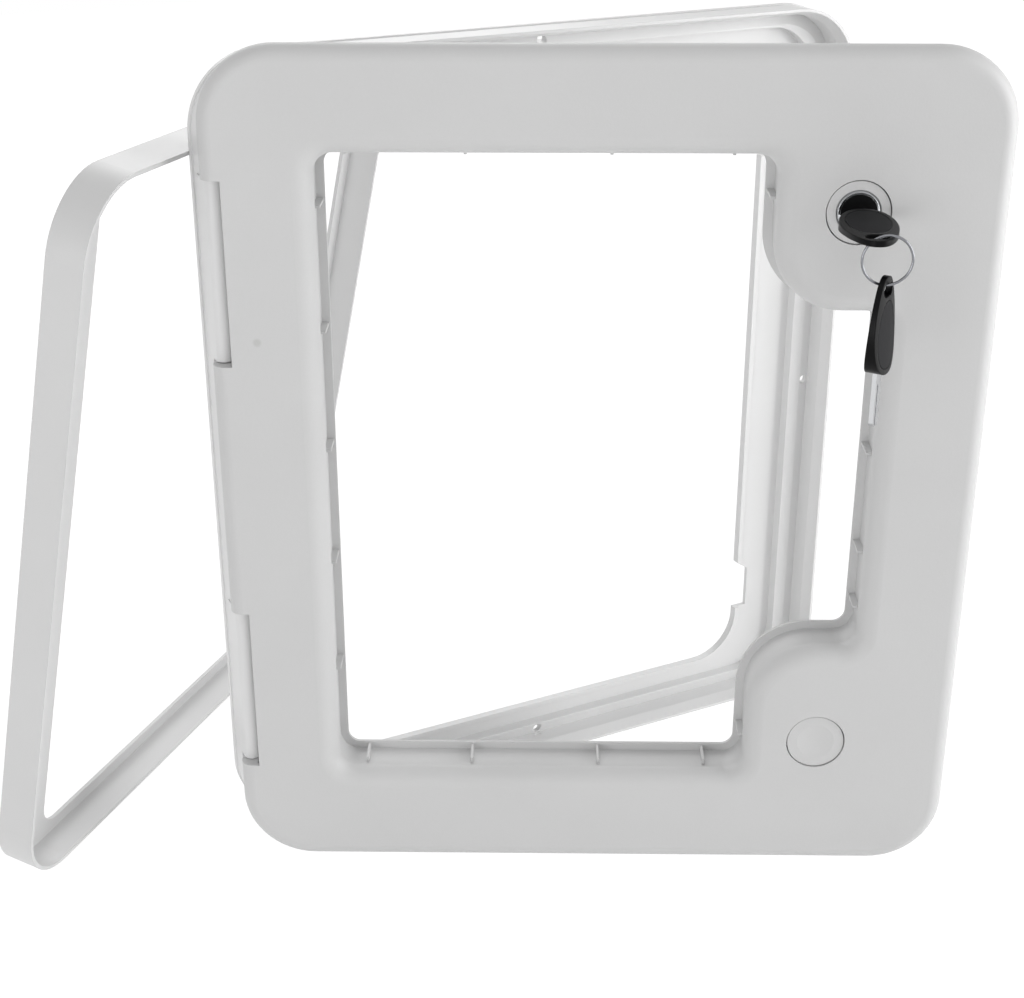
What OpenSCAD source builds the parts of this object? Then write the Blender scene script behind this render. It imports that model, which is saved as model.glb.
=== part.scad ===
// Service hatch for a caravan wall: wall frame, swinging door surround with window, two push latches,
// cylinder lock with two keys, and the loose counter ring that clamps the frame from inside.
// Drawn in front view (X right, Y up, Z towards the viewer) and stood upright at the end:
// world X right, world Y into the wall, world Z up. Origin: middle of the frame on its mounting plane.

/* [Pose] */
// Opening angle of the door in degrees
door_open = 28; // [0:0.5:110]

/* [Wall frame] */
// Overall width over the rim
frame_width = 358; // [320:400]
// Overall height over the rim
frame_height = 403.4; // [360:440]
// Outer corner radius
frame_radius = 36; // [20:50]
// Rim height in front of the wall
rim_height = 19.5; // [10:0.5:30]
// Rim height beside the hinge
rim_low = 12.9; // [8:0.1:13]
// Height of the foot the rim stands on
foot_height = 3; // [2:0.1:5]
// Set-back of the rim above its foot
foot_step = 0.6; // [0.2:0.1:1]
// Rim thickness at its front lip
rim_lip = 1.5; // [1:0.1:3]
// Rim thickness at its foot
rim_foot = 4.3; // [3:0.1:6]
// Inset of the ridge where the sloping floor ends
ridge_inset = 10.5; // [8:0.5:14]
// Floor height at the rim
floor_low = 2.5; // [2:0.1:5]
// Floor height at the ridge
floor_high = 4.5; // [3:0.1:7]
// Inset of the spigot on the rails and the hinge stile
spigot_inset = 9.3; // [9:0.1:14]
// Inset of the spigot on the latch stile
spigot_inset_latch = 15.8; // [12:0.1:20]
// Spigot wall thickness
spigot_wall = 2.2; // [1.5:0.1:4]
// Spigot depth behind the mounting plane
spigot_depth = 8.6; // [6:0.1:30]
// Front of the ledge behind the mounting plane
ledge_drop = 1.6; // [1:0.1:4]
// Ledge thickness
ledge_thick = 2.4; // [1.5:0.1:4]
// Inset of the clear opening on the rails and the hinge stile
opening_inset = 22.1; // [20:0.1:30]
// Inset of the clear opening on the latch stile
opening_inset_latch = 43.3; // [38:0.1:46]
// Corner radius of the clear opening
opening_radius = 26; // [10:40]
// Width of the bead round the opening
bead_width = 2.6; // [1:0.1:5]
// Height of the bead over the ledge
bead_height = 2; // [1:0.1:4]
// Inset of the wall screws
screw_inset = 7.2; // [7:0.1:7.2]
// Clearance hole of a wall screw
screw_hole = 4.2; // [3:0.1:6]
// Countersink diameter of a wall screw
screw_sink = 7.2; // [6:0.1:8]
// Depth of a strike notch into the ledge
strike_depth = 8.4; // [5:0.1:12]
// Half height of the strike notch
strike_half = 12; // [8:0.5:16]
// Rise of the sloped upper side of the strike notch
strike_slope = 6; // [0:0.5:15]
// Drop of the strike notches below the latch centres
strike_drop = 1.8; // [0:0.1:3]
// Drop of the side screws below the middle of the frame
side_drop = 9.5; // [0:0.5:20]
// Inset of the gasket in the back of the rim's foot
gasket_inset = 0.8; // [0.6:0.1:1.2]
// Width of the gasket
gasket_width = 3; // [2:0.1:3.4]
// Thickness of the gasket
gasket_thick = 1; // [0.5:0.1:2]

/* [Door] */
// Door width
door_width = 360; // [320:400]
// Door height
door_height = 417.4; // [360:0.1:450]
// Outer corner radius
door_radius = 36; // [20:60]
// Door front in front of the mounting plane
door_front_at = 29.5; // [20:0.1:40]
// Skin thickness
skin = 2.6; // [2:0.1:4]
// Rounding of the outer edge
edge_roll = 7; // [3:0.5:10]
// Rounding at the window lip
lip_roll = 9; // [4:0.5:12]
// Depth of the skirt behind the front
skirt_depth = 8; // [7:0.5:15]
// Inset of the tray wall from the sides
tray_inset = 12; // [10:20]
// Inset of the tray wall from top and bottom
tray_inset_ends = 16; // [12:25]
// Tray wall thickness
tray_wall = 2; // [1.5:0.1:4]
// Front of the back panel behind the door front
panel_at = 15.3; // [10:0.1:20]
// Back panel thickness
panel_thick = 2.2; // [1.5:0.1:4]
// Overall depth of the window tub
tub_depth = 28.5; // [20:0.5:40]
// Tub wall thickness
tub_wall = 1.8; // [1.2:0.1:3]
// Set-back of the tub wall from the window lip
tub_setback = 1.5; // [0:0.1:4]
// Projection of the rear rim into the window
tub_rim = 2.6; // [0:0.1:4]
// Thickness of the rear rim
tub_rim_thick = 1.7; // [1:0.1:3]
// Thickness of a spacer rib on the tub wall
rib_thick = 1.3; // [0.8:0.1:3]
// Length of a spacer rib
rib_length = 14; // [5:20]

/* [Window] */
// Half width of the window
window_half = 129.6; // [100:0.1:150]
// Width of the door's rail over the window
rail_top = 47.8; // [40:0.1:60]
// Width of the door's rail under the window
rail_bottom = 51.7; // [40:0.1:60]
// Corner radius of the window
window_radius = 9; // [4:20]
// Inner side of the two latch tabs from the latch centre
tab_reach = 35.9; // [34:0.1:45]
// Top of the lower tab over the latch centre
tab_over = 52.3; // [44:0.1:70]
// Bottom of the upper tab under the lock centre
tab_under = 47.5; // [40:0.1:60]
// Corner radius of a tab
tab_radius = 33; // [10:45]

/* [Hinge] */
// Hinge axis behind the door front
axis_depth = 9.9; // [9:0.1:10.5]
// Hinge axis from the door edge
axis_inset = 5; // [3:0.1:8]
// Knuckle radius
knuckle_radius = 4; // [3:0.1:4.5]
// Knuckle length
knuckle_length = 86; // [40:100]
// Start of the rim's relief beside the hinge, from the axis
relief_start = 6.5; // [5:0.5:10]
// End of the rim's relief, from the axis
relief_end = 29; // [20:40]
// Gap at each end of a knuckle
knuckle_gap = 0.5; // [0.2:0.1:1]
// Middle of the upper knuckle from the door's top edge
knuckle_from_top = 102.7; // [70:0.1:120]
// Middle of the lower knuckle from the door's bottom edge
knuckle_from_bottom = 99.2; // [70:0.1:120]
// Inner side of the door notch from the door edge
notch_depth = 9.8; // [8:0.1:12]
// Pin diameter
pin_size = 4; // [2:0.1:5]
// Radial play of the pin in the door bosses
pin_play = 0.05; // [0.02:0.01:0.1]
// Length of a pin boss on the door
boss_length = 12; // [6:20]
// Radius of a pin boss
boss_radius = 3.6; // [3:0.1:4]

/* [Latches] */
// Latch centres from the door's side edge
latch_inset = 67.5; // [67:0.5:72]
// Latch centres from the door's top and bottom edges
latch_drop = 72.2; // [68:0.1:80]
// Diameter of a push button
button_size = 28.4; // [20:0.1:40]
// Diameter of the bore in the door
button_bore = 29.4; // [20:0.1:42]
// Button face behind the door front
button_sunk = 0.6; // [0:0.1:2]
// Thickness of the button face
button_face = 2.8; // [2:0.1:4]
// Diameter of the shallow dish in the button
dish_size = 18.6; // [10:0.1:25]
// Bolt travel per button travel
wedge_ratio = 1.5; // [1:0.1:2]
// Front of the bolt behind the mounting plane
bolt_at = 4.5; // [4:0.1:8]
// Bolt thickness
bolt_thick = 5; // [3:0.1:8]
// Half width of the bolt nose
bolt_half = 7; // [4:0.5:10]
// Reach of the bolt nose from the latch centre
bolt_reach = 35.4; // [30:0.1:40]
// Length of the bevel on the bolt nose
bolt_bevel = 4; // [2:0.5:6]
// Half height of the latch housing
housing_half = 19; // [15:25]
// Housing side towards the window, from the latch centre
housing_in = 24.6; // [20:0.1:30]
// Housing side towards the strike, from the latch centre
housing_out = 19.9; // [15:0.1:22]
// Housing wall thickness
housing_wall = 2; // [1.5:0.1:3]
// Bottom of the housing behind the mounting plane
housing_at = 14.5; // [12:0.1:20]
// Thickness of the housing cover
cover_thick = 2; // [1.5:0.1:3]

/* [Lock and keys] */
// Diameter of the chrome barrel
barrel_size = 19.3; // [15:0.1:22]
// Diameter of the plug
plug_size = 16.5; // [12:0.1:18]
// Radial play of the plug
plug_play = 0.05; // [0.02:0.01:0.1]
// Width of the key blade
blade_width = 7; // [5:0.1:9]
// Thickness of the key blade
blade_thick = 2; // [1.5:0.1:3]
// Length of the key blade
blade_length = 24.6; // [20:0.1:28]
// Length of blade that shows between the lock and the key head
blade_shows = 8.8; // [1:0.1:12]
// Half width of the key head
head_half = 12.2; // [11.6:0.1:14]
// How much wider the key head is towards the blade
head_bias = 0.22; // [0.15:0.01:0.25]
// Length of the key head
head_length = 43; // [40:0.5:48]
// Length of the slot for the split ring, along the key
head_slot = 5.6; // [4:0.1:6]
// Width of that slot
slot_width = 10.4; // [9:0.1:10.6]
// Start of the inlay from the head's foot
inlay_foot = 2.6; // [2:0.1:4]
// Length of the inlay
inlay_length = 29.6; // [26:0.1:31]
// Half width of the inlay
inlay_half = 9.5; // [8:0.1:10]
// How much wider the inlay is towards the blade
inlay_bias = 0.15; // [0.1:0.01:0.2]
// Depth of the inlay's pocket
pocket_depth = 0.5; // [0.4:0.05:0.8]
// Gap round the inlay
pocket_gap = 0.25; // [0.1:0.05:0.4]
// Thickness of the key head at the blade
head_thick = 8.2; // [6:0.1:9]
// Thickness of the key head at its tip
tip_thick = 2.6; // [2:0.1:3]
// Outer diameter of the split ring
keyring_size = 22.6; // [15:0.1:35]
// Wire of the split ring
keyring_wire = 1.2; // [0.8:0.1:2]
// Turn of the hanging key against the split ring
spare_turn = 30; // [0:40]

/* [Counter ring] */
// Ring width
ring_width = 316.5; // [280:0.5:350]
// Ring height
ring_height = 378.2; // [330:0.1:420]
// Outer corner radius
ring_radius = 35.5; // [20:0.5:50]
// Corner radius of the ring's opening
ring_corner = 14; // [6:20]
// Depth of the band
ring_depth = 18.9; // [10:0.1:30]
// Thickness of the band and the flange
ring_wall = 2; // [1.5:0.1:3]
// Flange width on top, bottom and far side
ring_flange = 9.6; // [5:0.1:20]
// Flange width on the hinge side
ring_flange_far = 12.5; // [5:0.1:20]
// Flange width on the latch side
ring_flange_wide = 38.6; // [20:0.1:50]
// Height at which the ring leans on the frame
ring_touch = 157.3; // [120:0.1:160]
// Middle of the ring from the place where it leans
ring_along = 76.7; // [60:0.1:90]
// Turn of the ring about the vertical
ring_turn = 43.1; // [30:0.1:60]
// Lean of the ring
ring_lean = 11.7; // [5:0.1:20]
// Roll of the ring in its own plane
ring_roll = 0.7; // [-3:0.1:3]

/* [Output] */
// Roundness of the curves
smoothness = 64; // [32:16:128]

/* [Hidden] */
$fn = smoothness;
eps = 0.01;
far = 60;
half_fw = frame_width / 2;
half_fh = frame_height / 2;
half_dw = door_width / 2;
half_dh = door_height / 2;
axis_x = -half_dw + axis_inset;
axis_z = door_front_at - axis_depth;
skin_back = door_front_at - skin;
panel_front = door_front_at - panel_at;
panel_back = panel_front - panel_thick;
tub_back = door_front_at - tub_depth;
lip_end = door_front_at - lip_roll;
button_top = door_front_at - button_sunk;
button_under = button_top - button_face;
skirt_end = door_front_at - 10.8;
bolt_front = -bolt_at;
bolt_back = -bolt_at - bolt_thick;
window_top = half_dh - rail_top;
window_bottom = rail_bottom - half_dh;
knuckle_high = half_dh - knuckle_from_top;
knuckle_low = knuckle_from_bottom - half_dh;
latch_x = half_dw - latch_inset;
latch_y = half_dh - latch_drop;
tab_side = latch_x - tab_reach;
tab_low = tab_over - latch_y;
tab_high = latch_y - tab_under;
latch_heights = [latch_y, -latch_y];
knuckle_heights = [knuckle_high, knuckle_low];
wall_white = "#dcdcda";
door_white = "#d6d6d4";
part_grey = "#b9b9b7";
black = "#1b1b1b";
steel = "#b8babd";
chrome = "#c9ccd0";

// Outlines

module rounded(x0, x1, y0, y1, r) {
    translate([x0 + r, y0]) square([x1 - x0 - 2 * r, y1 - y0]);
    translate([x0, y0 + r]) square([x1 - x0, y1 - y0 - 2 * r]);
    for (x = [x0 + r, x1 - r]) {
        for (y = [y0 + r, y1 - r]) {
            translate([x, y]) circle(r);
        }
    }
}

module frame_outline(inset, inset_latch, r) {
    rounded(-half_fw + inset, half_fw - inset_latch, -half_fh + inset, half_fh - inset, r);
}

module opening_outline(grow) {
    frame_outline(opening_inset - grow, opening_inset_latch - grow, opening_radius + grow);
}

module window_outline(grow) {
    r = window_radius + grow;
    side = tab_side + grow;
    concave = tab_radius - grow;
    rounded(-window_half - grow, side, window_bottom - grow, window_top + grow, r);
    rounded(-window_half - grow, window_half + grow, tab_low - grow, tab_high + grow, r);
    for (tab = [[tab_low - grow, -1], [tab_high + grow, 1]]) {
        translate([side, tab[0]])
            scale_side(tab[1]) difference() {
                translate([-1, -1]) square([concave + 1, concave + 1]);
                translate([concave, concave]) circle(concave);
                translate([-2, -2]) square([concave + 3, 2]);
            }
    }
}

module scale_side(side) {
    if (side > 0) {
        children();
    } else {
        mirror([0, 1]) children();
    }
}

// Sweep of a profile (outward, Z) along an axis-aligned outline with rounded corners, given counter-clockwise

module sweep(path) {
    n = len(path);
    for (i = [0:n - 1]) {
        a = path[(i + n - 1) % n];
        p = path[i];
        b = path[(i + 1) % n];
        into = [sign(p[0] - a[0]), sign(p[1] - a[1])];
        out = [sign(b[0] - p[0]), sign(b[1] - p[1])];
        left = into[0] * out[1] - into[1] * out[0] > 0;
        centre = [p[0] + p[2] * (out[0] - into[0]), p[1] + p[2] * (out[1] - into[1])];
        ends = [b[0] - b[2] * out[0], b[1] - b[2] * out[1]];
        starts = [p[0] + p[2] * out[0], p[1] + p[2] * out[1]];
        translate([ends[0], ends[1], 0])
            rotate([90, 0, atan2(-out[0], out[1])])
                linear_extrude(norm(ends - starts)) children();
        translate([centre[0], centre[1], 0])
            rotate([0, 0, left ? atan2(-into[0], into[1]) : atan2(into[1], into[0])])
                rotate_extrude(angle = 90)
                    translate([p[2], 0]) mirror([left ? 0 : 1, 0]) children();
    }
}

function box_path(x0, x1, y0, y1, r) = [[x0, y0, r], [x1, y0, r], [x1, y1, r], [x0, y1, r]];

window_path = [
    [-window_half, window_bottom, window_radius],
    [tab_side, window_bottom, window_radius],
    [tab_side, tab_low, tab_radius],
    [window_half, tab_low, window_radius],
    [window_half, tab_high, window_radius],
    [tab_side, tab_high, tab_radius],
    [tab_side, window_top, window_radius],
    [-window_half, window_top, window_radius]
];

// Placing

module upright() {
    rotate([90, 0, 0]) children();
}

module on_door() {
    upright()
        translate([axis_x, 0, axis_z])
            rotate([0, -door_open, 0])
                translate([-axis_x, 0, -axis_z]) children();
}

module at_latch(y) {
    translate([latch_x, y, 0]) children();
}

// Wall frame

module rim_profile() {
    polygon([
        [0, 0], [0, foot_height], [-foot_step, foot_height], [-foot_step, rim_height],
        [-foot_step - rim_lip, rim_height], [-rim_foot, rim_height - 7],
        [-rim_foot, floor_low], [-ridge_inset, floor_high], [-ridge_inset, 0]
    ]);
}

// What the rim leaves free beside the hinge, where the door edge turns past it

module hinge_relief() {
    ramp_start = axis_x + relief_start;
    ramp_end = axis_x + relief_end;
    translate([0, half_fh + 1, 0]) rotate([90, 0, 0]) linear_extrude(frame_height + 2)
        polygon([
            [-half_fw - 1, rim_low], [ramp_start, rim_low], [ramp_end, rim_height],
            [ramp_end, rim_height + 1], [-half_fw - 1, rim_height + 1]
        ]);
}

module knuckle_profile() {
    web_foot = rim_low - 4;
    translate([axis_x, axis_z]) circle(knuckle_radius);
    polygon([
        [-half_fw, web_foot], [-half_fw, axis_z], [axis_x, axis_z], [axis_x + knuckle_radius, axis_z],
        [-half_fw + rim_foot, rim_height - 7], [-half_fw + rim_foot, web_foot]
    ]);
}

module knuckle(y) {
    translate([0, y + knuckle_length / 2, 0])
        rotate([90, 0, 0]) linear_extrude(knuckle_length) knuckle_profile();
}

module strike_cut(y) {
    edge = half_fw - opening_inset_latch;
    translate([edge, y, -ledge_drop - ledge_thick - 1])
        linear_extrude(ledge_thick + bead_height + 2)
            polygon([
                [-1, -strike_half - strike_drop], [strike_depth, -strike_half - strike_drop],
                [strike_depth, strike_half - strike_drop],
                [-1, strike_half - strike_drop + strike_slope * (strike_depth + 1) / strike_depth]
            ]);
}

module wall_screw_cut(x, y) {
    translate([x, y, -1]) cylinder(h = floor_high + 2, d = screw_hole);
    sink = (screw_sink - screw_hole) / 2;
    translate([x, y, floor_high - sink]) cylinder(h = sink, d1 = screw_hole, d2 = screw_sink);
    translate([x, y, floor_high - eps]) cylinder(h = 1, d = screw_sink);
}

module gasket_area() {
    inner = gasket_inset + gasket_width;
    difference() {
        frame_outline(gasket_inset, gasket_inset, frame_radius - gasket_inset);
        frame_outline(inner, inner, frame_radius - inner);
    }
}

module outer_frame() {
    color(wall_white) upright() difference() {
        union() {
            difference() {
                sweep(box_path(-half_fw, half_fw, -half_fh, half_fh, frame_radius)) rim_profile();
                hinge_relief();
            }
            linear_extrude(floor_high) difference() {
                frame_outline(ridge_inset, ridge_inset, frame_radius - ridge_inset);
                frame_outline(spigot_inset + spigot_wall, spigot_inset_latch + spigot_wall,
                    frame_radius - spigot_inset - spigot_wall);
            }
            translate([0, 0, -spigot_depth]) linear_extrude(spigot_depth) difference() {
                frame_outline(spigot_inset, spigot_inset_latch, frame_radius - spigot_inset);
                frame_outline(spigot_inset + spigot_wall, spigot_inset_latch + spigot_wall,
                    frame_radius - spigot_inset - spigot_wall);
            }
            translate([0, 0, -ledge_drop - ledge_thick]) linear_extrude(ledge_thick) difference() {
                frame_outline(spigot_inset + spigot_wall, spigot_inset_latch + spigot_wall,
                    frame_radius - spigot_inset - spigot_wall);
                opening_outline(0);
            }
            translate([0, 0, -ledge_drop]) linear_extrude(bead_height) difference() {
                opening_outline(bead_width);
                opening_outline(0);
            }
            for (y = knuckle_heights) {
                knuckle(y);
            }
        }
        for (y = knuckle_heights) {
            translate([axis_x, y + knuckle_length / 2 + 1, axis_z])
                rotate([90, 0, 0]) cylinder(h = knuckle_length + 2, d = pin_size);
        }
        for (y = latch_heights) {
            strike_cut(y);
        }
        for (p = [[half_fw - screw_inset, -side_drop], [-half_fw + screw_inset, -side_drop],
                  [0, half_fh - screw_inset], [0, -half_fh + screw_inset]]) {
            wall_screw_cut(p[0], p[1]);
        }
        translate([0, 0, -1]) linear_extrude(gasket_thick + 1) gasket_area();
    }
}

module frame_gasket() {
    color(part_grey) upright() linear_extrude(gasket_thick) gasket_area();
}

module hinge_pin(y) {
    pin_length = knuckle_length + 2 * knuckle_gap + 2 * boss_length - 2;
    color(steel) upright()
        translate([axis_x, y + pin_length / 2, axis_z])
            rotate([90, 0, 0]) cylinder(h = pin_length, d = pin_size);
}

// Door

module edge_profile() {
    translate([-edge_roll, door_front_at - edge_roll]) intersection() {
        difference() {
            circle(edge_roll);
            circle(edge_roll - skin);
        }
        square(edge_roll + 1);
    }
    translate([-skin, door_front_at - skirt_depth]) square([skin, skirt_depth - edge_roll]);
}

module lip_profile() {
    translate([lip_roll, lip_end]) intersection() {
        difference() {
            circle(lip_roll);
            circle(lip_roll - skin);
        }
        translate([-lip_roll - 1, 0]) square(lip_roll + 1);
    }
}

module notch_cut(y) {
    notch = knuckle_length + 2 * knuckle_gap;
    translate([-half_dw - 1, y - notch / 2, door_front_at - skirt_depth - 6])
        cube([notch_depth + 1, notch, skirt_depth + 7]);
}

module pin_boss(y0) {
    translate([0, y0 + boss_length, 0]) rotate([90, 0, 0]) linear_extrude(boss_length) {
        translate([axis_x, axis_z]) circle(boss_radius);
        translate([axis_x - 3, axis_z]) square([3 + boss_radius, skin_back - axis_z + eps]);
    }
}

door_screw_x = (window_half + half_dw) / 2 - 5;
door_screw_y = half_dh - tray_inset_ends - tray_wall - 12;
door_screw_places = [for (y = [door_screw_y, 0, -door_screw_y], x = [-door_screw_x, door_screw_x]) [x, y]];

module door_front() {
    notch = knuckle_length + 2 * knuckle_gap;
    color(door_white) on_door() {
        difference() {
            union() {
                sweep(box_path(-half_dw, half_dw, -half_dh, half_dh, door_radius)) edge_profile();
                translate([0, 0, skin_back]) linear_extrude(skin) difference() {
                    rounded(-half_dw + edge_roll, half_dw - edge_roll, -half_dh + edge_roll,
                        half_dh - edge_roll, door_radius - edge_roll);
                    window_outline(lip_roll);
                }
                sweep(window_path) lip_profile();
                for (y = latch_heights) {
                    translate([latch_x, y, panel_front + 1.1])
                        cylinder(h = skin_back - panel_front - 1.1 + eps, d = button_bore + 3.6);
                }
                for (p = door_screw_places) {
                    translate([p[0], p[1], panel_front]) cylinder(h = skin_back - panel_front + eps, d = 7);
                }
                for (y = knuckle_heights) {
                    translate([-half_dw + notch_depth, y - notch / 2 - 1, door_front_at - skirt_depth - 1])
                        cube([1.8, notch + 2, skirt_depth - skin + 1 + eps]);
                    pin_boss(y + notch / 2);
                    pin_boss(y - notch / 2 - boss_length);
                }
            }
            for (y = latch_heights) {
                translate([latch_x, y, 0]) cylinder(h = far, d = button_bore);
            }
            for (p = door_screw_places) {
                translate([p[0], p[1], panel_front - 1]) cylinder(h = 11, d = 2.6);
            }
            for (y = knuckle_heights) {
                notch_cut(y);
                translate([axis_x, y + knuckle_length, axis_z]) rotate([90, 0, 0])
                    cylinder(h = 2 * knuckle_length, d = pin_size + 2 * pin_play);
            }
        }
    }
}

rib_places = [
    [-116, window_bottom, 0], [-62, window_bottom, 0], [3.3, window_bottom, 0], [57.8, window_bottom, 0],
    [-116, window_top, 180], [-62, window_top, 180], [3.3, window_top, 180], [57.8, window_top, 180],
    [-window_half, -103, -90], [-window_half, -43.5, -90], [-window_half, 16, -90],
    [-window_half, 75.5, -90], [-window_half, 135, -90],
    [window_half, -66, 90], [window_half, -36, 90], [window_half, 16, 90], [window_half, 66, 90],
    [tab_side, -latch_y - 3.5, 90], [tab_side, latch_y + 3.5, 90]
];

module rib(x, y, turn) {
    reach = tub_setback + tub_rim - 0.8;
    translate([x, y, 0]) rotate([0, 0, turn])
        translate([-rib_thick / 2, -tub_setback - eps, tub_back + tub_rim_thick - eps])
            cube([rib_thick, reach, rib_length]);
}

module tray_outline(inset) {
    rounded(-half_dw + tray_inset + inset, half_dw - tray_inset - inset,
        -half_dh + tray_inset_ends + inset, half_dh - tray_inset_ends - inset,
        door_radius - tray_inset - inset + 4);
}

latch_hole = [32, 26];

module door_rear() {
    color(door_white) on_door() difference() {
        union() {
            translate([0, 0, panel_back]) linear_extrude(panel_thick) difference() {
                tray_outline(0);
                window_outline(tub_setback);
            }
            translate([0, 0, panel_back]) linear_extrude(skin_back - panel_back) difference() {
                tray_outline(0);
                tray_outline(tray_wall);
            }
            translate([0, 0, tub_back]) linear_extrude(lip_end - tub_back) difference() {
                window_outline(tub_setback + tub_wall);
                window_outline(tub_setback);
            }
            translate([0, 0, tub_back]) linear_extrude(tub_rim_thick) difference() {
                window_outline(tub_setback + tub_wall);
                window_outline(-tub_rim);
            }
            for (r = rib_places) {
                rib(r[0], r[1], r[2]);
            }
        }
        for (y = latch_heights) {
            translate([latch_x - latch_hole[0] / 2, y - latch_hole[1] / 2, panel_back - 1])
                cube([latch_hole[0], latch_hole[1], panel_thick + 2]);
        }
        for (p = door_screw_places) {
            translate([p[0], p[1], panel_back - 1]) cylinder(h = panel_thick + 2, d = 3);
        }
    }
}

module door_screws() {
    color(steel) on_door() for (p = door_screw_places) {
        translate([p[0], p[1], panel_back - 1.8]) cylinder(h = 1.8, d = 5.6);
        translate([p[0], p[1], panel_back - eps]) cylinder(h = 11, d = 2.6);
    }
}

// Latches, drawn about the latch centre

post_inset = 4.2;
post_places = [for (x = [-housing_in + post_inset, housing_out - post_inset - 0.1],
    y = [-housing_half + post_inset, housing_half - post_inset]) [x, y]];

module latch_housing(y) {
    top = panel_back + housing_at;
    color(part_grey) on_door() at_latch(y) difference() {
        union() {
            difference() {
                translate([-housing_in, -housing_half, -housing_at])
                    cube([housing_in + housing_out, 2 * housing_half, top]);
                translate([-housing_in + housing_wall, -housing_half + housing_wall, -housing_at - 1])
                    cube([
                        housing_in + housing_out - 2 * housing_wall,
                        2 * (housing_half - housing_wall), top + 2
                    ]);
            }
            for (p = post_places) {
                translate([p[0], p[1], -housing_at]) cylinder(h = top, d = 5.4);
            }
        }
        translate([-housing_in - 1, -bolt_half - 0.1, bolt_back - 0.1])
            cube([housing_in + housing_out + 2, 2 * bolt_half + 0.2, bolt_thick + 0.2]);
        for (p = post_places) {
            translate([p[0], p[1], -housing_at - 1]) cylinder(h = 10, d = 2.2);
        }
    }
}

module latch_cover(y) {
    color(part_grey) on_door() at_latch(y) difference() {
        translate([-housing_in, -housing_half, -housing_at - cover_thick])
            cube([housing_in + housing_out, 2 * housing_half, cover_thick]);
        for (p = post_places) {
            translate([p[0], p[1], -housing_at - cover_thick - 1]) cylinder(h = cover_thick + 2, d = 2.4);
            translate([p[0], p[1], -housing_at - cover_thick]) cylinder(h = 1, d1 = 4.4, d2 = 2.4);
        }
    }
}

module cover_screws() {
    color(steel) on_door() for (y = latch_heights) {
        at_latch(y) for (p = post_places) {
            translate([p[0], p[1], -housing_at - cover_thick]) cylinder(h = 1, d1 = 4.4, d2 = 2.2);
            translate([p[0], p[1], -housing_at - cover_thick + 1 - eps]) cylinder(h = 9, d = 2.2);
        }
    }
}

plate_back = 13;
plate_front = 15.5;
plate_half = 11.6;

module latch_bolt(y) {
    color(part_grey) on_door() at_latch(y) difference() {
        union() {
            translate([-plate_back, -plate_half, bolt_back])
                cube([plate_back + plate_front, 2 * plate_half, bolt_thick]);
            translate([1 - housing_in, -bolt_half, bolt_back])
                cube([housing_in - 1 + bolt_reach, 2 * bolt_half, bolt_thick]);
        }
        for (s = [-1, 1]) {
            translate([0, s * 8 + 2, 0]) rotate([90, 0, 0]) linear_extrude(4)
                polygon([
                    [2.3 - wedge_ratio * -0.5, bolt_back - 0.5], [2.3 - wedge_ratio * 5.5, bolt_front + 0.5],
                    [13, bolt_front + 0.5], [13, bolt_back - 0.5]
                ]);
        }
        translate([0, bolt_half + 1, 0]) rotate([90, 0, 0]) linear_extrude(2 * bolt_half + 2)
            polygon([
                [bolt_reach - bolt_bevel, bolt_back - 1], [bolt_reach - bolt_bevel, bolt_back],
                [bolt_reach, bolt_front - 1], [bolt_reach + 1, bolt_front - 1],
                [bolt_reach + 1, bolt_back - 1]
            ]);
    }
}

module wedge_legs() {
    for (s = [-1, 1]) {
        translate([0, s * 8 + 1.8, 0]) rotate([90, 0, 0]) linear_extrude(3.6)
            polygon([
                [-10.3, skirt_end + 1], [-7.6, skirt_end + 1], [-7.6, 2], [6.4, 2], [6.4, bolt_back],
                [2.4, bolt_back], [-11.4, -0.3], [-11.4, 2], [-10.3, 2]
            ]);
    }
}

module button_shell(bore) {
    difference() {
        union() {
            translate([0, 0, skirt_end]) cylinder(h = button_top - skirt_end, d = button_size);
            translate([0, 0, skirt_end]) cylinder(h = 2.4, d = button_bore - 0.2);
        }
        translate([0, 0, skirt_end - 1]) cylinder(h = button_under - skirt_end + 1, d = button_size - 4.4);
        if (bore > 0) {
            translate([0, 0, skirt_end]) cylinder(h = far, d = bore);
        }
    }
}

module push_button() {
    dish_depth = 0.9;
    sphere_radius = (dish_size * dish_size / 4 + dish_depth * dish_depth) / (2 * dish_depth);
    color(door_white) on_door() at_latch(-latch_y) {
        difference() {
            button_shell(0);
            translate([0, 0, button_top + sphere_radius - dish_depth])
                sphere(sphere_radius, $fn = 4 * smoothness);
        }
        wedge_legs();
    }
}

module lock_button() {
    color(door_white) on_door() at_latch(latch_y) {
        difference() {
            button_shell(barrel_size);
            translate([0, 0, button_top - 1.5]) cylinder(h = 3, d = barrel_size + 0.9);
        }
        wedge_legs();
    }
}

// Lock and keys

barrel_back = 9.5;
plug_back = 8;
cam_at = 1.4;
slot_play = 0.15;
key_seat = button_top + blade_shows;
slot_middle = head_length - head_slot / 2 - 3.2;

module lock_barrel() {
    color(chrome) on_door() at_latch(latch_y) difference() {
        union() {
            translate([0, 0, barrel_back]) cylinder(h = button_top - barrel_back, d = barrel_size);
            translate([0, 0, button_top - eps]) cylinder(h = 0.7, d1 = barrel_size, d2 = barrel_size - 1);
        }
        translate([0, 0, barrel_back - 1]) cylinder(h = far, d = plug_size + 2 * plug_play);
    }
}

module lock_plug() {
    color(black) on_door() at_latch(latch_y) difference() {
        translate([0, 0, plug_back]) cylinder(h = button_top + 0.1 - plug_back, d = plug_size);
        translate([-blade_width / 2 - slot_play, -blade_thick / 2 - slot_play, key_seat - blade_length - 0.4])
            cube([blade_width + 2 * slot_play, blade_thick + 2 * slot_play, far]);
    }
}

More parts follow.
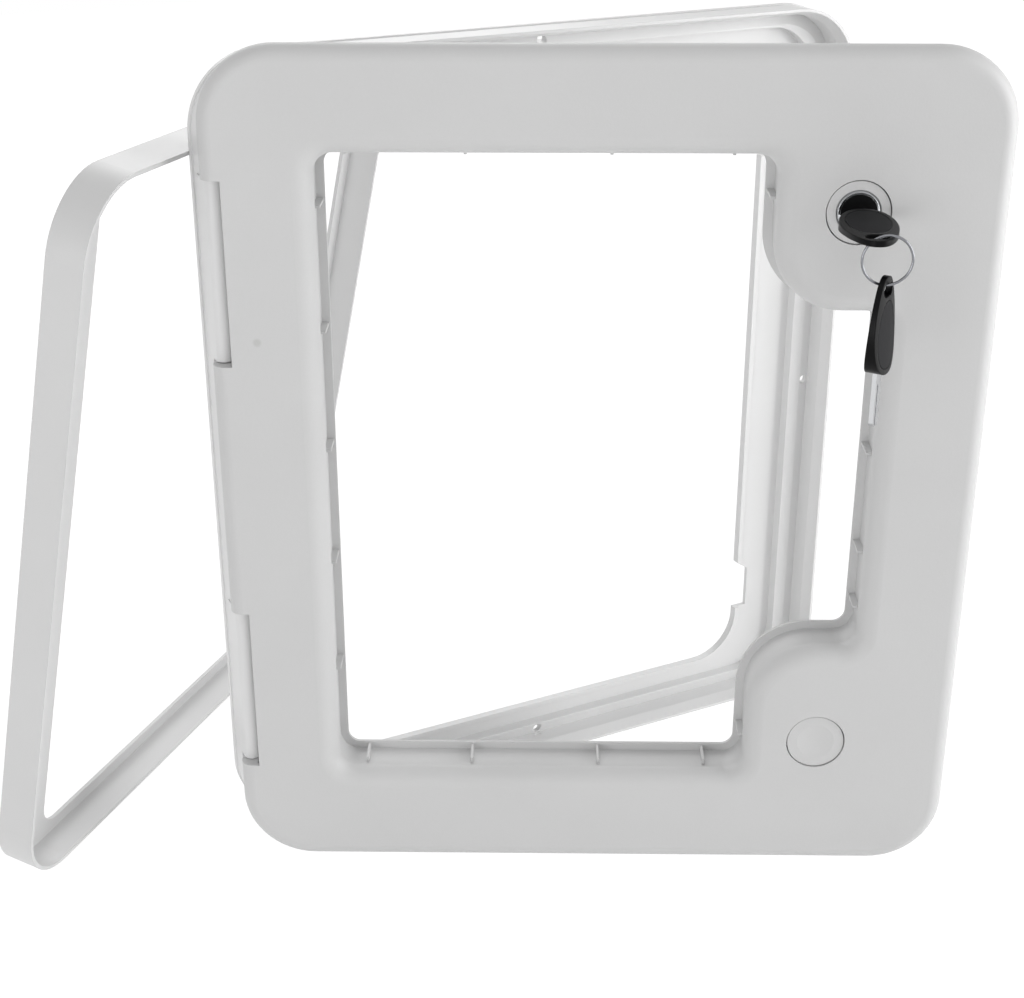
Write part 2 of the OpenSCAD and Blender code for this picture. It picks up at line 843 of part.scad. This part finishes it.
module lock_cam() {
    color(steel) on_door() at_latch(latch_y) {
        translate([-5.6, -1.6, cam_at]) cube([11.2, 3.2, 2]);
        translate([0, 0, cam_at]) cylinder(h = plug_back - cam_at, d = 6);
    }
}

// Egg-shaped outline from y0 to y1, wider towards y0

module egg(y0, y1, half, bias) {
    steps = 40;
    middle = (y0 + y1) / 2;
    reach = (y1 - y0) / 2;
    polygon([for (i = [0:2 * steps - 1])
        let (a = 180 * i / steps, x = half * pow(abs(sin(a)), 0.85) * (1 + bias * cos(a)))
        [a < 180 ? x : -x, middle - reach * cos(a)]]);
}

module inlay_outline(grow) {
    egg(inlay_foot - grow, inlay_foot + inlay_length + grow, inlay_half + grow, inlay_bias);
}

// Key drawn flat: blade towards -Y, head towards +Y, thickness along Z, head's foot at the origin

crown_radius = 60;

// Everything under the crowned upper face, which falls from the blade to the tip

module under_crown(lift) {
    fall = atan2((head_thick - tip_thick) / 2, head_length);
    translate([0, 0, head_thick / 2 + lift]) rotate([-fall, 0, 0])
        translate([0, -far, -crown_radius]) rotate([-90, 0, 0])
            cylinder(h = 2 * far + head_length, r = crown_radius, $fn = 8 * smoothness);
}

module flat_head() {
    difference() {
        intersection() {
            translate([0, 0, -head_thick / 2]) linear_extrude(head_thick)
                egg(0, head_length, head_half, head_bias);
            under_crown(0);
            mirror([0, 0, 1]) under_crown(0);
        }
        for (s = [0, 1]) {
            mirror([0, 0, s]) difference() {
                linear_extrude(head_thick) inlay_outline(pocket_gap);
                under_crown(-pocket_depth);
            }
        }
        for (x = [-1, 1]) {
            translate([x * (slot_width - head_slot) / 2, slot_middle, -head_thick])
                cylinder(h = 2 * head_thick, d = head_slot);
        }
        translate([-(slot_width - head_slot) / 2, slot_middle - head_slot / 2, -head_thick])
            cube([slot_width - head_slot, head_slot, 2 * head_thick]);
        translate([-blade_width / 2, -far, -blade_thick / 2])
            cube([blade_width, far + blade_root, blade_thick]);
    }
}

module flat_inlay() {
    for (s = [0, 1]) {
        mirror([0, 0, s]) difference() {
            intersection() {
                linear_extrude(head_thick) inlay_outline(0);
                under_crown(-0.05);
            }
            under_crown(0.03 - pocket_depth);
        }
    }
}

blade_root = 8;

module flat_blade() {
    notches = [[4.5, 1.4], [8.5, 2.2], [12.5, 1], [16.5, 1.9], [20.5, 1.3]];
    difference() {
        translate([-blade_width / 2, -blade_length, -blade_thick / 2])
            cube([blade_width, blade_length + blade_root, blade_thick]);
        for (c = notches) {
            translate([blade_width / 2, -blade_length + c[0], -blade_thick]) linear_extrude(2 * blade_thick)
                polygon([[-c[1], -0.5], [-c[1], 0.5], [1, 1.5 + c[1]], [1, -1.5 - c[1]]]);
        }
        translate([-1.6, -blade_length - 1, blade_thick / 2 - 0.5]) cube([1, blade_length - 4, 1]);
        translate([-blade_width / 2, -blade_length, 0]) rotate([0, 0, 45])
            cube([2.6, 2.6, 2 * blade_thick], center = true);
        translate([blade_width / 2, -blade_length, 0]) rotate([0, 0, 45])
            cube([2.6, 2.6, 2 * blade_thick], center = true);
    }
}

module key_in_lock() {
    on_door() at_latch(latch_y) translate([0, 0, key_seat])
        rotate([90, 0, 0]) children();
}

ring_centre_radius = (keyring_size - keyring_wire) / 2;
bar_x = slot_width / 2 - 0.2;
ring_drop = 8.4;
ring_reach = slot_middle + 0.6;

module keyring_place() {
    on_door() at_latch(latch_y)
        translate([bar_x, -ring_drop, key_seat + ring_reach]) children();
}

module key_ring() {
    color(steel) keyring_place()
        rotate_extrude() translate([ring_centre_radius, 0]) circle(d = keyring_wire, $fn = 20);
}

module spare_place() {
    keyring_place()
        translate([0, -ring_centre_radius, 0])
            rotate([0, 90 - spare_turn, 0])
                translate([0, keyring_wire / 2 + 0.2 - slot_middle - head_slot / 2, 0]) children();
}

// Counter ring, drawn flat with its open side at Z = 0 and its flange at the back

module ring_outline(inset) {
    rounded(-ring_width / 2 + inset, ring_width / 2 - inset,
        -ring_height / 2 + inset, ring_height / 2 - inset,
        ring_radius - inset);
}

module counter_ring() {
    gap = 0.05;
    color(wall_white) translate([-half_fw - gap, gap, ring_touch])
        rotate([0, 0, ring_turn]) rotate([ring_lean, 0, 0]) rotate([0, ring_roll, 0])
            translate([ring_along, 0, -ring_height / 2])
                upright() translate([0, 0, -ring_depth]) difference() {
                    linear_extrude(ring_depth) ring_outline(0);
                    translate([0, 0, ring_wall]) linear_extrude(ring_depth) ring_outline(ring_wall);
                    translate([0, 0, -1]) linear_extrude(ring_depth) rounded(
                        -ring_width / 2 + ring_flange_wide, ring_width / 2 - ring_flange_far,
                        -ring_height / 2 + ring_flange, ring_height / 2 - ring_flange, ring_corner);
                }
}

outer_frame();
frame_gasket();
counter_ring();
hinge_pin(knuckle_high);  // upper_hinge_pin
hinge_pin(knuckle_low);  // lower_hinge_pin
door_front();
door_rear();
door_screws();
latch_housing(-latch_y);  // lower_latch_housing
latch_cover(-latch_y);  // lower_latch_cover
latch_housing(latch_y);  // upper_latch_housing
latch_cover(latch_y);  // upper_latch_cover
cover_screws();
latch_bolt(-latch_y);  // lower_bolt
latch_bolt(latch_y);  // upper_bolt
push_button();
lock_button();
lock_barrel();
lock_plug();
lock_cam();
color(black) key_in_lock() flat_head();  // key_head
color("#2b2b2b") key_in_lock() flat_inlay();  // key_inlay
color(steel) key_in_lock() flat_blade();  // key_blade
key_ring();
color(black) spare_place() flat_head();  // spare_key_head
color("#2b2b2b") spare_place() flat_inlay();  // spare_key_inlay
color(steel) spare_place() flat_blade();  // spare_key_blade
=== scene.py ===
# Caravan service hatch: materials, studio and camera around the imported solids. Lengths in metres.

import math

import bpy
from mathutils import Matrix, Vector


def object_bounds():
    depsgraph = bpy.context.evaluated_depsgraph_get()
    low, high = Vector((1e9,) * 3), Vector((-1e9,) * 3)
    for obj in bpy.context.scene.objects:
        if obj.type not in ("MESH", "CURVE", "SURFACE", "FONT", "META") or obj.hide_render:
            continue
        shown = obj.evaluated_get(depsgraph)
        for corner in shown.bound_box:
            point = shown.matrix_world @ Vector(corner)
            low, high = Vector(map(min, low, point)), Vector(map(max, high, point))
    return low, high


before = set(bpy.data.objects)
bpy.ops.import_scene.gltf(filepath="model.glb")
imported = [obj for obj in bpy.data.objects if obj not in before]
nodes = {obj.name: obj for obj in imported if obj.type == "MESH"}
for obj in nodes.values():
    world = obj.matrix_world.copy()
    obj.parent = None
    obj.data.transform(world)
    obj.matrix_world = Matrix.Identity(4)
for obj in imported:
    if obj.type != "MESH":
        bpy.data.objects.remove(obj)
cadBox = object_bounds()
mm = 0.001
white = (1, 1, 1, 1)
noiseLow, noiseHigh = 0.3, 0.7  # most values of a noise node lie between these
bevelSamples = 4


def linearColour(hexText):
    channels = [int(hexText[i:i + 2], 16) / 255 for i in (1, 3, 5)]
    linear = [c / 12.92 if c <= 0.04045 else ((c + 0.055) / 1.055) ** 2.4 for c in channels]
    return (*linear, 1.0)


def addNode(owner, kind, settings=None, **inputs):
    # an input is given by its name, or as i0, i1 and so on by its number; owner is a material or the world
    tree = owner.node_tree
    node = tree.nodes.new(kind)
    for name, value in (settings or {}).items():
        setattr(node, name, value)
    for name, value in inputs.items():
        numbered = name[0] == "i" and name[1:].isdigit()
        socket = node.inputs[int(name[1:])] if numbered else node.inputs[name.replace("_", " ")]
        if isinstance(value, bpy.types.NodeSocket):
            tree.links.new(value, socket)
        else:
            socket.default_value = value
    return node


def newMaterial(name):
    material = bpy.data.materials.new(name)
    material.use_nodes = True
    material.node_tree.nodes.clear()
    return material


def finishMaterial(material, shader):
    addNode(material, "ShaderNodeOutputMaterial", Surface=shader.outputs[0])
    return material


# Moulded ABS, acetal and nylon. Grain, depth and edge are lengths: the width of the mould grain's
# mottling, the depth of its bump, and the radius by which a sharp edge is shaded round.

# spark-eroded mould: matt and finely mottled
texturedAbsFinish = {"colour": "#d2d2d2", "shade": "#cccccc", "roughness": 0.5, "specular": 0.5,
                     "grain": 1.1 * mm, "depth": 0.05 * mm, "edge": 0.4 * mm}
# polished mould: a soft sheen
smoothAbsFinish = {"colour": "#d9d9d9", "shade": "#d4d4d4", "roughness": 0.38, "specular": 0.5,
                   "grain": 0.7 * mm, "depth": 0.012 * mm, "edge": 0.4 * mm}
# same mould finish, paler to make up for light that the softboxes don't bring behind the door
paleAbsFinish = {"colour": "#e6e6e6", "shade": "#e0e0e0", "roughness": 0.38, "specular": 0.5,
                 "grain": 0.7 * mm, "depth": 0.012 * mm, "edge": 0.4 * mm}
# slippery and slightly waxy
acetalFinish = {"colour": "#cfcfcc", "shade": "#c7c7c4", "roughness": 0.36, "specular": 0.5,
                "grain": 0.6 * mm, "depth": 0.01 * mm, "edge": 0.2 * mm}
# satin black with a tight highlight on the rounded edge of the grip
blackNylonFinish = {"colour": "#0a0a0b", "shade": "#070708", "roughness": 0.3, "specular": 0.09,
                    "grain": 0.5 * mm, "depth": 0.012 * mm, "edge": 1.0 * mm}
# rubbery, so its highlight spreads
softInlayFinish = {"colour": "#1e1e20", "shade": "#19191b", "roughness": 0.55, "specular": 0.09,
                   "grain": 0.5 * mm, "depth": 0.03 * mm, "edge": 0.15 * mm}
# glossy black face of the lock
plugFinish = {"colour": "#0b0b0c", "shade": "#080809", "roughness": 0.28, "specular": 0.16,
              "grain": 0.5 * mm, "depth": 0.006 * mm, "edge": 0.2 * mm}

# what all mouldings share; polishSwing is how far the roughness drifts to either side
moulding = {"driftScale": 14.0, "driftDetail": 2.0, "grainDetail": 3.0, "grainRoughness": 0.6,
            "mottle": 0.5, "polishSwing": 0.04, "ior": 1.53}


def mouldedPlastic(name, finish, mark=None):
    material = newMaterial(name)
    where = addNode(material, "ShaderNodeTexCoord").outputs["Object"]
    # slow drift of the shade over the moulding, about a hand's breadth wide
    drift = addNode(material, "ShaderNodeTexNoise", Vector=where, Scale=moulding["driftScale"],
                    Detail=moulding["driftDetail"]).outputs[0]
    # mould grain, drawn coarser than a real one so that it shows
    grain = addNode(material, "ShaderNodeTexNoise", Vector=where, Scale=1 / finish["grain"],
                    Detail=moulding["grainDetail"], Roughness=moulding["grainRoughness"]).outputs[0]
    mottle = addNode(material, "ShaderNodeMath", {"operation": "MULTIPLY_ADD"},
                     i0=grain, i1=moulding["mottle"], i2=-moulding["mottle"] / 2)
    tone = addNode(material, "ShaderNodeMath", {"operation": "ADD", "use_clamp": True},
                   i0=drift, i1=mottle.outputs[0])
    colour = addNode(material, "ShaderNodeMix", {"data_type": "RGBA"}, i0=tone.outputs[0],
                     i6=linearColour(finish["colour"]), i7=linearColour(finish["shade"])).outputs[2]
    if mark:
        far = addNode(material, "ShaderNodeVectorMath", {"operation": "DISTANCE"},
                      i0=where, i1=mark["place"])
        spot = addNode(material, "ShaderNodeMapRange", Value=far.outputs["Value"],
                       From_Min=mark["core"], From_Max=mark["radius"],
                       To_Min=mark["strength"], To_Max=0.0)
        colour = addNode(material, "ShaderNodeMix", {"data_type": "RGBA"}, i0=spot.outputs[0],
                         i6=colour, i7=linearColour(mark["colour"])).outputs[2]
    edge = addNode(material, "ShaderNodeBevel", {"samples": bevelSamples}, Radius=finish["edge"])
    bump = addNode(material, "ShaderNodeBump", Strength=1.0, Distance=finish["depth"],
                   Height=grain, Normal=edge.outputs[0])
    rough = addNode(material, "ShaderNodeMapRange", Value=drift, From_Min=noiseLow, From_Max=noiseHigh,
                    To_Min=finish["roughness"] - moulding["polishSwing"],
                    To_Max=finish["roughness"] + moulding["polishSwing"])
    shader = addNode(material, "ShaderNodeBsdfPrincipled", Base_Color=colour, Roughness=rough.outputs[0],
                     IOR=moulding["ior"], Specular_IOR_Level=finish["specular"], Normal=bump.outputs[0])
    return finishMaterial(material, shader)


# Metals: nickel silver keys are bright, the split ring's spring steel is darker, zinc-plated steel
# is dull and chrome is a mirror.

zincSteelFinish = {"colour": "#b9bbbe", "roughness": 0.34, "wear": 1.1 * mm}
nickelSilverFinish = {"colour": "#c9cacc", "roughness": 0.2, "wear": 0.8 * mm}
springSteelFinish = {"colour": "#85868a", "roughness": 0.24, "wear": 0.5 * mm}
chromeFinish = {"colour": "#d2d4d7", "roughness": 0.09, "wear": 1.5 * mm}

# what all plated metals share; brightest and dullest multiply a finish's roughness
plating = {"wearDetail": 4.0, "brightest": 0.8, "dullest": 1.2, "edge": 0.15 * mm}


def platedMetal(name, finish):
    material = newMaterial(name)
    where = addNode(material, "ShaderNodeTexCoord").outputs["Object"]
    # handling marks dull the plating in patches
    wear = addNode(material, "ShaderNodeTexNoise", Vector=where, Scale=1 / finish["wear"],
                   Detail=plating["wearDetail"]).outputs[0]
    rough = addNode(material, "ShaderNodeMapRange", Value=wear, From_Min=noiseLow, From_Max=noiseHigh,
                    To_Min=finish["roughness"] * plating["brightest"],
                    To_Max=finish["roughness"] * plating["dullest"])
    edge = addNode(material, "ShaderNodeBevel", {"samples": bevelSamples}, Radius=plating["edge"])
    shader = addNode(material, "ShaderNodeBsdfPrincipled", Base_Color=linearColour(finish["colour"]),
                     Metallic=1.0, Roughness=rough.outputs[0], Normal=edge.outputs[0])
    return finishMaterial(material, shader)


# Closed-cell foam rubber: dead matt, with cells that show as a fine pebbling

foamFinish = {"colour": "#8e8e8c", "shade": "#7d7d7b", "roughness": 0.9,
              "cell": 0.6 * mm, "depth": 0.1 * mm}


def foamRubber(name, finish):
    material = newMaterial(name)
    where = addNode(material, "ShaderNodeTexCoord").outputs["Object"]
    cells = addNode(material, "ShaderNodeTexVoronoi", Vector=where, Scale=1 / finish["cell"])
    colour = addNode(material, "ShaderNodeMix", {"data_type": "RGBA"}, i0=cells.outputs["Distance"],
                     i6=linearColour(finish["colour"]), i7=linearColour(finish["shade"])).outputs[2]
    bump = addNode(material, "ShaderNodeBump", Distance=finish["depth"], Height=cells.outputs["Distance"])
    shader = addNode(material, "ShaderNodeBsdfPrincipled", Base_Color=colour, Roughness=finish["roughness"],
                     Normal=bump.outputs[0])
    return finishMaterial(material, shader)


# small dull mark on the door face, beside the upper hinge
doorMark = {"place": (-0.16455, -0.03637, 0.0747), "core": 1.2 * mm, "radius": 2.4 * mm,
            "strength": 0.5, "colour": "#b4b4b2"}

texturedAbs = mouldedPlastic("texturedAbs", texturedAbsFinish, doorMark)
smoothAbs = mouldedPlastic("smoothAbs", smoothAbsFinish)
paleAbs = mouldedPlastic("paleAbs", paleAbsFinish)
acetal = mouldedPlastic("acetal", acetalFinish)
blackNylon = mouldedPlastic("blackNylon", blackNylonFinish)
softInlay = mouldedPlastic("softInlay", softInlayFinish)
blackPlug = mouldedPlastic("blackPlug", plugFinish)
zincSteel = platedMetal("zincPlatedSteel", zincSteelFinish)
nickelSilver = platedMetal("nickelSilver", nickelSilverFinish)
springSteel = platedMetal("platedSpringSteel", springSteelFinish)
chromePlating = platedMetal("chromePlating", chromeFinish)
closedCellFoam = foamRubber("closedCellFoam", foamFinish)

nodeFinish = {
    "outer_frame": paleAbs, "counter_ring": smoothAbs, "frame_gasket": closedCellFoam,
    "door_front": texturedAbs, "door_rear": texturedAbs,
    "push_button": texturedAbs, "lock_button": texturedAbs,
    "upper_hinge_pin": zincSteel, "lower_hinge_pin": zincSteel, "door_screws": zincSteel,
    "cover_screws": zincSteel, "lock_cam": zincSteel, "lock_barrel": chromePlating, "lock_plug": blackPlug,
    "lower_latch_housing": acetal, "upper_latch_housing": acetal, "lower_latch_cover": acetal,
    "upper_latch_cover": acetal, "lower_bolt": acetal, "upper_bolt": acetal,
    "key_head": blackNylon, "spare_key_head": blackNylon,
    "key_inlay": softInlay, "spare_key_inlay": softInlay,
    "key_blade": nickelSilver, "spare_key_blade": nickelSilver, "key_ring": springSteel,
}
for name, material in nodeFinish.items():
    part = nodes[name]
    if not part.material_slots:
        part.data.materials.append(material)
    for slot in part.material_slots:
        slot.material = material
print("materials on", len(nodeFinish), "nodes")

# Studio: a white paper floor in a white room. Seen by the camera or in a gloss both are white, and
# for the rays that carry light the room is dimmer, so that the softboxes shape the part.

studio = {"floorDrop": 0.4 * mm, "floorSize": 6.0, "floorWhite": 1.12, "floorShare": 0.88,
          "roomWhite": 1.0, "aroundColour": "#f7f7f7", "aroundLevel": 0.52}


def directRays(owner):
    rays = addNode(owner, "ShaderNodeLightPath").outputs
    gloss = addNode(owner, "ShaderNodeMath", {"operation": "MAXIMUM"},
                    i0=rays["Is Camera Ray"], i1=rays["Is Glossy Ray"])
    seen = addNode(owner, "ShaderNodeMath", {"operation": "MAXIMUM"},
                   i0=gloss.outputs[0], i1=rays["Is Transmission Ray"])
    return seen.outputs[0]


def floorMaterial():
    material = newMaterial("paperFloor")
    diffuse = addNode(material, "ShaderNodeBsdfDiffuse", Color=white)
    glow = addNode(material, "ShaderNodeEmission", Color=white, Strength=studio["floorWhite"])
    # the rest of the floor's share stays diffuse, so that faint shadows show on it
    share = addNode(material, "ShaderNodeMath", {"operation": "MULTIPLY"},
                    i0=directRays(material), i1=studio["floorShare"])
    mixed = addNode(material, "ShaderNodeMixShader", i0=share.outputs[0],
                    i1=diffuse.outputs[0], i2=glow.outputs[0])
    return finishMaterial(material, mixed)


def makeFloor():
    half = studio["floorSize"] / 2
    level = cadBox[0][2] - studio["floorDrop"]
    mesh = bpy.data.meshes.new("floor")
    mesh.from_pydata([(-half, -half, level), (half, -half, level), (half, half, level), (-half, half, level)],
                     [], [(0, 1, 2, 3)])
    floor = bpy.data.objects.new("floor", mesh)
    bpy.context.scene.collection.objects.link(floor)
    mesh.materials.append(floorMaterial())


def makeWorld():
    world = bpy.data.worlds.new("studioWorld")
    bpy.context.scene.world = world
    world.use_nodes = True
    world.node_tree.nodes.clear()
    around = addNode(world, "ShaderNodeBackground", Color=linearColour(studio["aroundColour"]),
                     Strength=studio["aroundLevel"])
    backdrop = addNode(world, "ShaderNodeBackground", Color=white, Strength=studio["roomWhite"])
    mixed = addNode(world, "ShaderNodeMixShader", i0=directRays(world),
                    i1=around.outputs[0], i2=backdrop.outputs[0])
    addNode(world, "ShaderNodeOutputWorld", Surface=mixed.outputs[0])


# sizes and places in metres
softboxes = [
    {"name": "topBox", "place": (-0.5, -0.9, 1.7), "aim": (0, 0, 0), "size": 1.6, "watts": 1.5},
    {"name": "rightBox", "place": (1.5, -1.15, 0.3), "aim": (0, 0, 0), "size": 1.3, "watts": 27},
    {"name": "leftBox", "place": (-1.5, -1.0, -0.05), "aim": (0, 0, 0), "size": 0.8, "watts": 9.5},
    {"name": "backBox", "place": (0.3, 1.6, 1.2), "aim": (0, 0, 0), "size": 1.4, "watts": 12},
]


def makeLights():
    for box in softboxes:
        light = bpy.data.lights.new(box["name"], "AREA")
        light.size = box["size"]
        light.energy = box["watts"]
        lamp = bpy.data.objects.new(box["name"], light)
        bpy.context.scene.collection.objects.link(lamp)
        place = Vector(box["place"])
        lamp.location = place
        lamp.rotation_euler = (Vector(box["aim"]) - place).to_track_quat("-Z", "Y").to_euler()


# turn in degrees, lens and sensor in millimetres
photoCamera = {"place": (-0.408546, -0.766469, 0.334169), "turn": (66.0629, -0.0061, -27.2125),
               "lens": 61.3867, "sensor": 36, "clipStart": 0.01}


def makeCamera():
    lens = bpy.data.cameras.new("photoCamera")
    lens.lens = photoCamera["lens"]
    lens.sensor_width = photoCamera["sensor"]
    lens.clip_start = photoCamera["clipStart"]
    camera = bpy.data.objects.new("photoCamera", lens)
    bpy.context.scene.collection.objects.link(camera)
    camera.location = photoCamera["place"]
    camera.rotation_euler = [math.radians(a) for a in photoCamera["turn"]]
    bpy.context.scene.camera = camera


makeFloor()
makeWorld()
makeLights()
makeCamera()
bpy.context.scene.view_settings.view_transform = "Standard"
print("studio ready")
